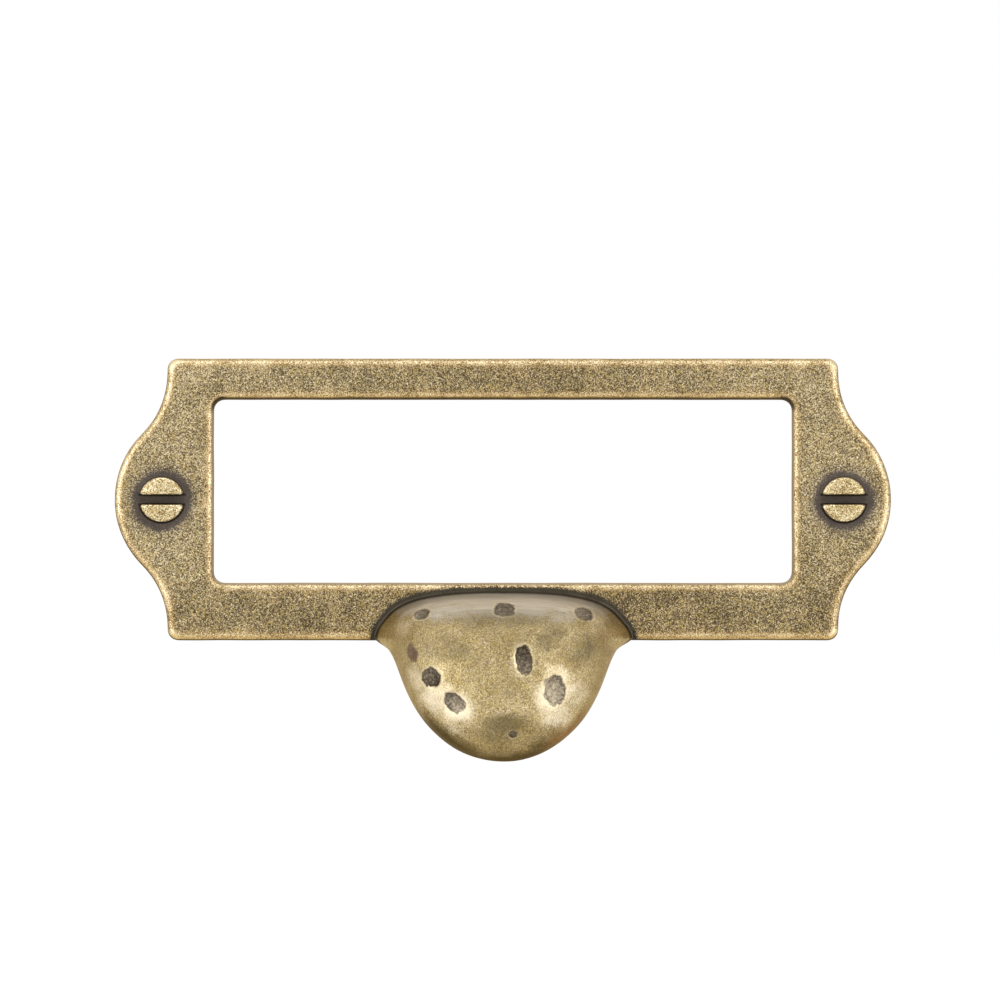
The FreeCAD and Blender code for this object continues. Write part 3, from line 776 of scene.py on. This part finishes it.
def makeThreads():
    radius = rearThread["diameter"] / 2
    pitch = rearThread["pitch"]
    halfFoot = rearThread["halfFoot"]
    turns = (rearThread["end"] - rearThread["start"]) / pitch
    steps = round(turns * rearThread["stepsPerTurn"])
    ridge = bmesh.new()
    for side in (-1, 1):
        rows = []
        for step in range(steps + 1):
            turned = step / rearThread["stepsPerTurn"]
            angle = turned * math.tau
            inward = -rearThread["start"] - turned * pitch
            fade = min(1, step / rearThread["runOut"], (steps - step) / rearThread["runOut"])
            crest = radius - rearThread["height"] * fade
            row = []
            for reach, along in ((radius, halfFoot), (crest, 0), (radius, -halfFoot)):
                spot = (side * agedBrass["headSpread"] + reach * math.cos(angle),
                        inward + along * pitch, reach * math.sin(angle))
                row.append(ridge.verts.new(Vector(spot) * mm))
            rows.append(row)
        for before, after in zip(rows, rows[1:]):
            for first, second in ((0, 1), (1, 2), (2, 0)):
                ridge.faces.new((before[first], before[second], after[second], after[first]))
        ridge.faces.new(rows[0][::-1])
        ridge.faces.new(rows[-1])
    bmesh.ops.recalc_face_normals(ridge, faces=ridge.faces)
    mesh = bpy.data.meshes.new("rearThreads")
    ridge.to_mesh(mesh)
    ridge.free()
    for name, value in plainTraits.items():
        trait = mesh.attributes.new(name, "FLOAT", "POINT")
        trait.data.foreach_set("value", [value] * len(mesh.vertices))
    piece = bpy.data.objects.new("rearThreads", mesh)
    bpy.context.scene.collection.objects.link(piece)
    print("rear threads:", len(mesh.polygons), "facets")
    return piece


brass = makeAgedBrass()
casting = makeCasting()
casting.data.materials.clear()
casting.data.materials.append(brass)
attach(casting, "root")
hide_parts("frame_pull_casting")

threads = makeThreads()
threads.data.materials.append(brass)
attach(threads, "root")


# studio: white surroundings, a pale floor below, soft boxes left and right and a weaker one above

studio = {
    "white": (1, 1, 1, 1),
    "fill": 0.55,
    "floorDrop": 0.09,      # m below the back face's middle
    "floorSize": 6.0,       # m
    "floorColour": (0.86, 0.86, 0.86, 1),
    "floorGlow": 0.55,
    "softBoxes": [          # name, place, width, height, watts
        ("softBoxLeft", (-0.60, -0.45, 0.08), 0.45, 0.70, 2.2),
        ("softBoxRight", (0.60, -0.45, 0.08), 0.45, 0.70, 2.2),
        ("softBoxTop", (0.0, -0.35, 0.65), 0.70, 0.40, 1.3),
    ],
    "lampAim": (0, 0, -0.008),
    "sensor": 36,           # mm
    "distance": 1.0,        # m, camera to the frame's face
    "fieldWidth": 0.14076,  # m across the picture at the frame's face
    "aim": (-0.0004, -0.004, -0.00007),
}


def makeSurroundings():
    world = bpy.data.worlds.new("studio")
    bpy.context.scene.world = world
    board = Board(world)
    unseen = board.node("Background", inputs={"Color": studio["white"], "Strength": studio["fill"]})
    backdrop = board.node("Background", inputs={"Color": studio["white"], "Strength": 1})
    mixed = board.node("MixShader", inputs={0: board.seen(), 1: unseen, 2: backdrop})
    board.node("OutputWorld", inputs={"Surface": mixed})


def makeFloor():
    half = studio["floorSize"] / 2
    corners = [(-half, -half, 0), (half, -half, 0), (half, half, 0), (-half, half, 0)]
    mesh = bpy.data.meshes.new("floor")
    mesh.from_pydata(corners, [], [(0, 1, 2, 3)])
    floor = bpy.data.objects.new("floor", mesh)
    floor.location = (0, 0, -studio["floorDrop"])
    bpy.context.scene.collection.objects.link(floor)
    material = bpy.data.materials.new("paleFloor")
    board = Board(material)
    matt = board.node("BsdfDiffuse", inputs={"Color": studio["floorColour"]})
    lit = board.node("Emission", inputs={"Color": studio["white"], "Strength": studio["floorGlow"]})
    bright = board.node("AddShader", inputs={0: matt, 1: lit})
    mixed = board.node("MixShader", inputs={0: board.seen(), 1: matt, 2: bright})
    board.node("OutputMaterial", inputs={"Surface": mixed})
    mesh.materials.append(material)


def makeLamps():
    for name, spot, width, height, watts in studio["softBoxes"]:
        light = bpy.data.lights.new(name, "AREA")
        light.shape = "RECTANGLE"
        light.size = width
        light.size_y = height
        light.energy = watts
        lamp = bpy.data.objects.new(name, light)
        lamp.location = spot
        towards = Vector(studio["lampAim"]) - Vector(spot)
        lamp.rotation_euler = towards.to_track_quat("-Z", "Y").to_euler()
        bpy.context.scene.collection.objects.link(lamp)


def makeCamera():
    view = bpy.data.cameras.new("camera")
    view.sensor_width = studio["sensor"]
    view.lens = studio["sensor"] * studio["distance"] / studio["fieldWidth"]
    camera = bpy.data.objects.new("camera", view)
    camera.location = Vector(studio["aim"]) - Vector((0, studio["distance"], 0))
    camera.rotation_euler = (math.pi / 2, 0, 0)
    bpy.context.scene.collection.objects.link(camera)
    bpy.context.scene.camera = camera


makeSurroundings()
makeFloor()
makeLamps()
makeCamera()
bpy.context.scene.view_settings.view_transform = "Standard"
print("studio ready")
